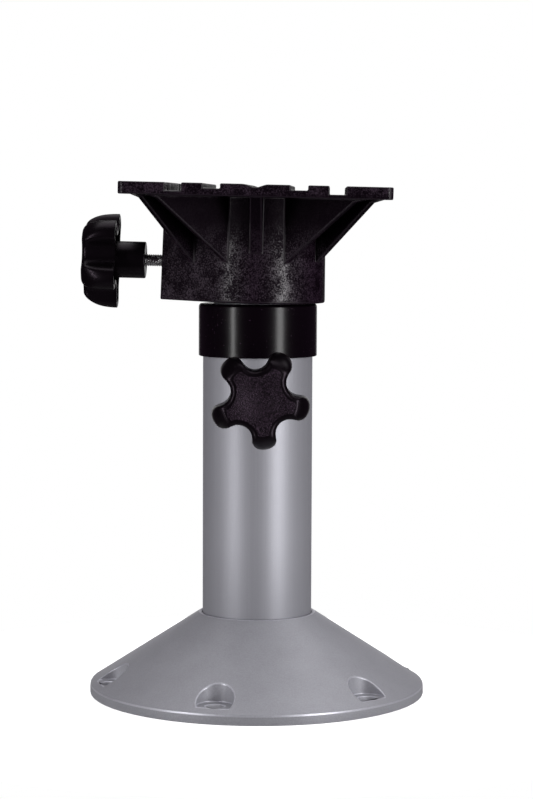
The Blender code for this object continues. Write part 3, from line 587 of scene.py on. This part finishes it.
def drilled(piece, matrix, radius, start, end):
    """Cuts a round hole along a frame's Z through a piece."""
    bm = turned([(0.0, end), (radius, end), (radius, start), (0.0, start)], DRILL_SIDES, matrix)
    bmesh.ops.remove_doubles(bm, verts=bm.verts, dist=0.00001)
    bmesh.ops.recalc_face_normals(bm, faces=bm.faces)
    mesh = bpy.data.meshes.new("drill")
    bm.to_mesh(mesh)
    bm.free()
    drill = bpy.data.objects.new("drill", mesh)
    bpy.context.scene.collection.objects.link(drill)
    cut = piece.modifiers.new("hole", 'BOOLEAN')
    cut.operation = 'DIFFERENCE'
    cut.solver = 'EXACT'
    cut.object = drill
    bpy.context.view_layer.update()
    result = bpy.data.meshes.new_from_object(piece.evaluated_get(bpy.context.evaluated_depsgraph_get()))
    piece.modifiers.clear()
    piece.data = result
    bpy.data.objects.remove(drill)


def sleeve(name, node, fillet, steps, rows, *finishes):
    """A plain tube in a node's place, with its ends' edges rounded and rows of vertices at some heights."""
    low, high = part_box(node)
    bore = bore_radius(node)
    outer = [(high.x, row, 0.0) for row in sorted(rows, reverse=True)]
    inner = [(bore, row, 0.0) for row in sorted(rows)]
    profile = rounded([(bore, high.z, fillet), (high.x, high.z, fillet), *outer, (high.x, low.z, fillet),
                       (bore, low.z, fillet), *inner], 3)
    return new_piece(name, turned(profile, steps), node, *finishes)


class PEDESTAL_OT_base(bpy.types.Operator):
    """The cast base with its screw pockets, and the set screws in its hub"""
    bl_idname = "pedestal.base"
    bl_label = "Cast base"

    def execute(self, context):
        sizes = context.scene.pedestal_details
        softened("base_flange", "cast_base", sizes.casting_edge, "cast_silver", "cast_edge")
        for node in frame["nodes"]:
            if node.startswith("tube_set_screw"):
                dress(frame["nodes"][node], "plated_steel")
        return {'FINISHED'}


class PEDESTAL_OT_tube(bpy.types.Operator):
    """The outer tube, and the post that slides in it with its guide, cap and washer"""
    bl_idname = "pedestal.tube"
    bl_label = "Tube and post"

    def execute(self, context):
        sizes = context.scene.pedestal_details
        clamp = clamp_frame("height_knob_turn", TUBE_AXIS)
        insert_radius = span("swivel_insert", clamp_frame("swivel_knob_turn", mount_up()))[2]
        hole = insert_radius + sizes.clearance
        middle = clamp.translation.z
        # Rows of vertices just above and below the hole keep the tube's shading even round it
        rows = [middle + offset * hole for offset in (-1.6, -1.2, 1.2, 1.6)]
        tube = sleeve("satin_tube", "pedestal_tube", sizes.tube_edge, sizes.steps, rows, "anodised_satin")
        drilled(tube, clamp, hole, bore_radius("inner_post"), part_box("top_bush")[1].x)
        sleeve("sliding_post", "inner_post", sizes.tube_edge, sizes.steps, [], "anodised_satin")
        dress(frame["nodes"]["lower_guide"], "guide_plastic")
        dress(frame["nodes"]["post_cap"], "guide_plastic")
        dress(frame["nodes"]["thrust_washer"], "plated_steel")
        return {'FINISHED'}


class PEDESTAL_OT_bush(bpy.types.Operator):
    """The gloss bush over the top of the tube"""
    bl_idname = "pedestal.bush"
    bl_label = "Top bush"

    def execute(self, context):
        sizes = context.scene.pedestal_details
        low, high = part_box("top_bush")
        bore = bore_radius("top_bush")
        tube_radius, tube_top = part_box("pedestal_tube")[1].yz
        tube_bore = bore_radius("pedestal_tube")
        space = sizes.clearance
        foot = high.z - sizes.collar_height
        profile = rounded([
            (bore, high.z, sizes.collar_mouth), (high.x, high.z, sizes.collar_round),
            (high.x, foot, sizes.collar_mouth), (tube_radius + space, foot, 0.0),
            (tube_radius + space, tube_top + space, 0.0), (tube_bore - space, tube_top + space, 0.0),
            (tube_bore - space, low.z, sizes.tube_edge), (bore, low.z, sizes.tube_edge),
        ], 6)
        bush = new_piece("gloss_bush", turned(profile, sizes.steps), "top_bush", "gloss_black")
        clamp = clamp_frame("height_knob_turn", TUBE_AXIS)
        pad_radius = span("height_brake_pad", clamp)[2]
        drilled(bush, clamp, pad_radius + space, bore_radius("inner_post"), tube_bore)
        return {'FINISHED'}


class PEDESTAL_OT_mount(bpy.types.Operator):
    """The ribbed seat mount and its threaded insert"""
    bl_idname = "pedestal.mount"
    bl_label = "Seat mount"

    def execute(self, context):
        sizes = context.scene.pedestal_details
        softened("seat_mount", "ribbed_seat_mount", sizes.mount_edge, "mottled_nylon", "nylon_edge")
        dress(frame["nodes"]["swivel_insert"], "turned_brass")
        return {'FINISHED'}


def star_reach(sizes, turn, inset):
    """Distance from the knob's axis to the star's edge, drawn in by inset, in one direction."""
    half = math.pi / sizes.lobes
    turn = abs((turn + half) % (2.0 * half) - half)
    lobe = sizes.lobe_radius - inset
    reach = sizes.hollow_reach - inset
    along = sizes.lobe_circle * math.cos(half)
    hollow = ((sizes.lobe_circle ** 2 + reach ** 2 - 2.0 * reach * along - lobe ** 2)
              / (2.0 * (lobe + along - reach)))
    pivot = Vector(((reach + hollow) * math.cos(half), (reach + hollow) * math.sin(half)))
    touch = Vector((sizes.lobe_circle, 0.0)).lerp(pivot, lobe / (lobe + hollow))
    if turn < math.atan2(touch.y, touch.x):
        offset = sizes.lobe_circle * math.sin(turn)
        return sizes.lobe_circle * math.cos(turn) + math.sqrt(max(lobe ** 2 - offset ** 2, 0.0))
    offset = pivot.length * math.sin(half - turn)
    return pivot.length * math.cos(half - turn) - math.sqrt(max(hollow ** 2 - offset ** 2, 0.0))


def star_ring(sizes, height, depth, inset, wall=0.0, scale=1.0):
    """One ring of the star, its lobes drawn in softly to the dome's reach at that depth."""
    along = (sizes.star_depth - depth) / sizes.dome_depth
    dome = sizes.dome_radius * math.sqrt(1.0 - along ** 2) - wall - inset * 0.3
    # The higher this power, the more suddenly the lobes give way to the dome
    blend = 14.0 - 8.0 * inset / sizes.edge if inset <= sizes.edge else 6.0
    points = []
    for step in range(KNOB_STEPS):
        turn = step * math.tau / KNOB_STEPS
        star = star_reach(sizes, turn, inset)
        reach = (star ** -blend + dome ** -blend) ** (-1.0 / blend) * scale
        points.append(Vector((reach * math.cos(turn), reach * math.sin(turn), height)))
    return points


def round_ring(height, radius, count=KNOB_STEPS):
    turns = [step * math.tau / count for step in range(count)]
    return [Vector((radius * math.cos(turn), radius * math.sin(turn), height)) for turn in turns]


def dished(sizes, point):
    """Sinks a point of the front face into a round dish that runs out before the hollows."""
    share = min(point.xy.length / sizes.hollow_reach, 1.0)
    return Vector((point.x, point.y, point.z - sizes.dish * (0.5 + 0.5 * math.cos(share * math.pi))))


def make_knob(name, node, matrix, turn, bore, sunk):
    """A star knob: grained dished face, polished lobes hollow behind, and a hub bored out as far as sunk."""
    sizes = bpy.context.scene.pedestal_knob
    start, front, _ = span(node, matrix)
    rear = front - sizes.star_depth
    roof = front - sizes.wall
    bm = bmesh.new()
    loops = []
    for share in (0.08, 0.18, 0.3, 0.42, 0.54, 0.66, 0.78, 0.9, 1.0):
        loops.append([dished(sizes, point) for point in star_ring(sizes, front, 0.0, sizes.edge, scale=share)])
    face_rings = len(loops)
    for step in range(1, 7):
        bend = step / 6.0 * math.pi / 2.0
        depth = sizes.edge * (1.0 - math.cos(bend))
        loops.append(star_ring(sizes, front - depth, depth, sizes.edge * (1.0 - math.sin(bend))))
    for step in range(1, 13):
        depth = sizes.edge + (sizes.star_depth - sizes.edge) * step / 12.0
        loops.append(star_ring(sizes, front - depth, depth, 0.0))
    lip = sizes.wall / 4.0
    loops.append(star_ring(sizes, rear - lip / 2.0, sizes.star_depth, lip))
    loops.append(star_ring(sizes, rear - lip / 2.0, sizes.star_depth, sizes.wall - lip, lip))
    for share in (1.0, 0.8, 0.6, 0.4, 0.2):
        depth = sizes.wall + (sizes.star_depth - sizes.wall) * share
        loops.append(star_ring(sizes, front - depth, depth, sizes.wall, sizes.wall))
    loops.append(star_ring(sizes, roof, sizes.wall, sizes.wall, 1.5 * sizes.wall))
    loops.append(round_ring(roof, sizes.hub_radius + sizes.hub_fillet))
    loops.append(round_ring(roof - sizes.hub_fillet, sizes.hub_radius))
    for share in (0.5, 0.25):
        loops.append(round_ring(start + (roof - start) * share, sizes.hub_radius))
    for step in range(5):
        bend = step / 4.0 * math.pi / 2.0
        loops.append(round_ring(start + sizes.hub_round * (1.0 - math.sin(bend)),
                                sizes.hub_radius - sizes.hub_round * (1.0 - math.cos(bend))))
    loops.append(round_ring(start, bore + sizes.bore_bevel))
    loops.append(round_ring(start + sizes.bore_bevel, bore))
    loops.append(round_ring(sunk, bore))
    place = matrix @ Matrix.Rotation(turn, 4, 'Z')
    rings = [ring(bm, [place @ point for point in loop]) for loop in loops]
    centre = bm.verts.new(place @ Vector((0.0, 0.0, front - sizes.dish)))
    bottom = bm.verts.new(place @ Vector((0.0, 0.0, sunk)))
    for index, (first, second) in enumerate(zip(rings, rings[1:])):
        before = len(bm.faces)
        bridge(bm, first, second)
        bm.faces.ensure_lookup_table()
        if index < face_rings - 1:
            for face in bm.faces[before:]:
                face.material_index = 1
    count = len(rings[0])
    for index in range(count):
        face = bm.faces.new((centre, rings[0][index], rings[0][(index + 1) % count]))
        face.material_index = 1
        bm.faces.new((bottom, rings[-1][(index + 1) % count], rings[-1][index]))
    return new_piece(name, bm, node, "knob_flank", "knob_grain")


def make_stud(name, node, matrix):
    """The clamp screw: a rolled thread that starts behind its plain dog point."""
    sizes = bpy.context.scene.pedestal_details
    start, end, radius = span(node, matrix)
    dog = sizes.dog_length
    bevel = sizes.clearance
    rows = int((end - start - dog) / sizes.thread_pitch * THREAD_STEPS)
    bm = bmesh.new()
    loops = [round_ring(start, sizes.dog_radius - bevel, STUD_SIDES),
             round_ring(start + bevel, sizes.dog_radius, STUD_SIDES),
             round_ring(start + dog, sizes.dog_radius, STUD_SIDES)]
    for row in range(rows + 1):
        height = start + dog + row * sizes.thread_pitch / THREAD_STEPS
        fade = min(1.0, row / THREAD_STEPS, (rows - row) / THREAD_STEPS)
        loop = []
        for side in range(STUD_SIDES):
            phase = (row / THREAD_STEPS - side / STUD_SIDES) % 1.0
            groove = min(1.0, max(0.0, 1.25 - 2.5 * abs(2.0 * phase - 1.0)))
            reach = radius - sizes.thread_depth * (groove * fade + 1.0 - fade)
            turn = side * math.tau / STUD_SIDES
            loop.append(Vector((reach * math.cos(turn), reach * math.sin(turn), height)))
        loops.append(loop)
    rings = [ring(bm, [matrix @ point for point in loop]) for loop in loops]
    for first, second in zip(rings, rings[1:]):
        bridge(bm, first, second)
    bm.faces.new(rings[0])
    bm.faces.new(rings[-1])
    return new_piece(name, bm, node, "plated_steel")


class PEDESTAL_OT_clamps(bpy.types.Operator):
    """The two star knobs with their screws, insert and brake pads"""
    bl_idname = "pedestal.clamps"
    bl_label = "Clamp knobs"

    def execute(self, context):
        sizes = context.scene.pedestal_knob
        space = context.scene.pedestal_details.clearance
        clamps = (("height", TUBE_AXIS, sizes.height_turn), ("swivel", mount_up(), sizes.swivel_turn))
        for word, up, turn in clamps:
            matrix = clamp_frame(word + "_knob_turn", up)
            _, stud_end, stud_radius = span(word + "_stud", matrix)
            make_knob(word + "_star_knob", word + "_knob", matrix, turn, stud_radius + space, stud_end + space)
            make_stud(word + "_clamp_screw", word + "_stud", matrix)
            dress(frame["nodes"][word + "_brake_pad"], "guide_plastic")
        dress(frame["nodes"]["height_insert"], "plated_steel")
        return {'FINISHED'}


def area_light(name, power, width, height, place, target):
    lamp = bpy.data.lights.new(name, 'AREA')
    lamp.shape = 'RECTANGLE'
    lamp.size = width
    lamp.size_y = height
    lamp.energy = power
    light = bpy.data.objects.new(name, lamp)
    light.location = place
    light.rotation_euler = (Vector(target) - Vector(place)).to_track_quat('-Z', 'Y').to_euler()
    bpy.context.scene.collection.objects.link(light)
    return light


def make_floor(radius):
    """A white round table top that shows plain white to the camera, with the object's soft shadow."""
    bm = bmesh.new()
    bm.faces.new(ring(bm, round_ring(0.0, radius, FLOOR_SIDES)))
    mesh = bpy.data.meshes.new("studio_floor")
    bm.to_mesh(mesh)
    bm.free()
    floor = bpy.data.objects.new("studio_floor", mesh)
    bpy.context.scene.collection.objects.link(floor)
    material = bpy.data.materials.new("white_floor")
    s = Shading(material)
    path = s.node("LightPath").outputs
    matt = s.node("BsdfDiffuse", {}, {"Color": (0.8, 0.8, 0.8, 1.0)})
    glow = s.node("Emission", {}, {"Color": WHITE, "Strength": 0.80})
    white = s.node("AddShader", {}, {0: matt.outputs[0], 1: glow.outputs[0]})
    dim = s.node("BsdfDiffuse", {}, {"Color": (0.30, 0.30, 0.30, 1.0)})
    both = s.node("MixShader", {}, {0: path["Is Camera Ray"], 1: dim.outputs[0], 2: white.outputs[0]})
    s.node("OutputMaterial", {}, {"Surface": both.outputs[0]})
    mesh.materials.append(material)


def make_world(surround):
    """White for the camera, and a dark, faintly violet studio with a white back wall for reflections."""
    world = bpy.data.worlds.new("studio")
    bpy.context.scene.world = world
    s = Shading(world)
    path = s.node("LightPath").outputs
    where = s.node("TexCoord").outputs["Generated"]
    back = Value(s, s.node("SeparateXYZ", {}, {0: where}).outputs[1])
    wall = s.spread(back, 0.92, 0.99)
    white = s.math('MAXIMUM', Value(s, path["Is Camera Ray"]), wall)
    studio = s.mix(white, (surround, surround * 0.7, surround, 1.0), WHITE)
    light = s.node("Background", {}, {"Color": studio, "Strength": 1.0})
    s.node("OutputWorld", {}, {"Surface": light.outputs[0]})


def make_camera(sizes):
    lens = bpy.data.cameras.new("photo_camera")
    lens.sensor_width = 36.0
    lens.lens = sizes.lens
    camera = bpy.data.objects.new("photo_camera", lens)
    level = Matrix.Rotation(math.pi / 2.0 - sizes.pitch, 4, 'X')
    camera.matrix_world = (Matrix.Translation((sizes.side, -sizes.distance, sizes.height)) @ level
                           @ Matrix.Rotation(sizes.roll, 4, 'Z'))
    bpy.context.scene.collection.objects.link(camera)
    bpy.context.scene.camera = camera


class PEDESTAL_OT_stage(bpy.types.Operator):
    """The floor, the studio light and the camera"""
    bl_idname = "pedestal.stage"
    bl_label = "Stage"

    def execute(self, context):
        sizes = context.scene.pedestal_stage
        make_floor(sizes.floor_radius)
        make_world(sizes.surround)
        make_camera(sizes)
        middle = (0.0, 0.0, sizes.aim_height)
        for name, power, width, swing, mirrored in (
                ("left_strip", sizes.left_power, sizes.left_width, -sizes.left_swing, True),
                ("right_strip", sizes.right_power, sizes.right_width, sizes.right_swing, True),
                ("left_wash", sizes.left_wash, sizes.wash_width, -sizes.left_wash_swing, False),
                ("right_wash", sizes.right_wash, sizes.wash_width, sizes.right_wash_swing, False)):
            place = Matrix.Rotation(swing, 4, 'Z') @ Vector((0.0, -sizes.light_distance, sizes.strip_rise))
            area_light(name, power, width, sizes.strip_height, place, middle).visible_glossy = mirrored
        above = (sizes.top_side, sizes.top_back, sizes.top_height)
        area_light("overhead", sizes.top_power, sizes.top_width, sizes.top_width, above, middle)
        context.scene.view_settings.view_transform = 'Standard'
        return {'FINISHED'}


class PEDESTAL_PT_panel(bpy.types.Panel):
    """Lists the pedestal's pieces and sizes"""
    bl_label = "Boat Seat Pedestal"
    bl_idname = "PEDESTAL_PT_panel"
    bl_space_type = 'VIEW_3D'
    bl_region_type = 'UI'
    bl_category = "Pedestal"

    def draw(self, context):
        for operator in OPERATORS:
            self.layout.operator(operator.bl_idname)
        for name, group in SETTINGS.items():
            box = self.layout.box()
            box.label(text=group.__name__)
            for key in group.__annotations__:
                box.prop(getattr(context.scene, name), key)


OPERATORS = (PEDESTAL_OT_base, PEDESTAL_OT_tube, PEDESTAL_OT_bush, PEDESTAL_OT_mount, PEDESTAL_OT_clamps,
             PEDESTAL_OT_stage)
SETTINGS = {
    "pedestal_colours": PedestalColours,
    "pedestal_knob": KnobSizes,
    "pedestal_details": DetailSizes,
    "pedestal_stage": StageSizes,
}


def register():
    for group in SETTINGS.values():
        bpy.utils.register_class(group)
    for operator in OPERATORS:
        bpy.utils.register_class(operator)
    bpy.utils.register_class(PEDESTAL_PT_panel)
    for name, group in SETTINGS.items():
        setattr(bpy.types.Scene, name, PointerProperty(type=group))


def unregister():
    for name in SETTINGS:
        delattr(bpy.types.Scene, name)
    bpy.utils.unregister_class(PEDESTAL_PT_panel)
    for operator in reversed(OPERATORS):
        bpy.utils.unregister_class(operator)
    for group in SETTINGS.values():
        bpy.utils.unregister_class(group)


def main():
    register()
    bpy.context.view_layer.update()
    bpy.ops.pedestal.base()
    bpy.ops.pedestal.tube()
    bpy.ops.pedestal.bush()
    bpy.ops.pedestal.mount()
    bpy.ops.pedestal.clamps()
    bpy.ops.pedestal.stage()


if __name__ == "__main__":
    main()
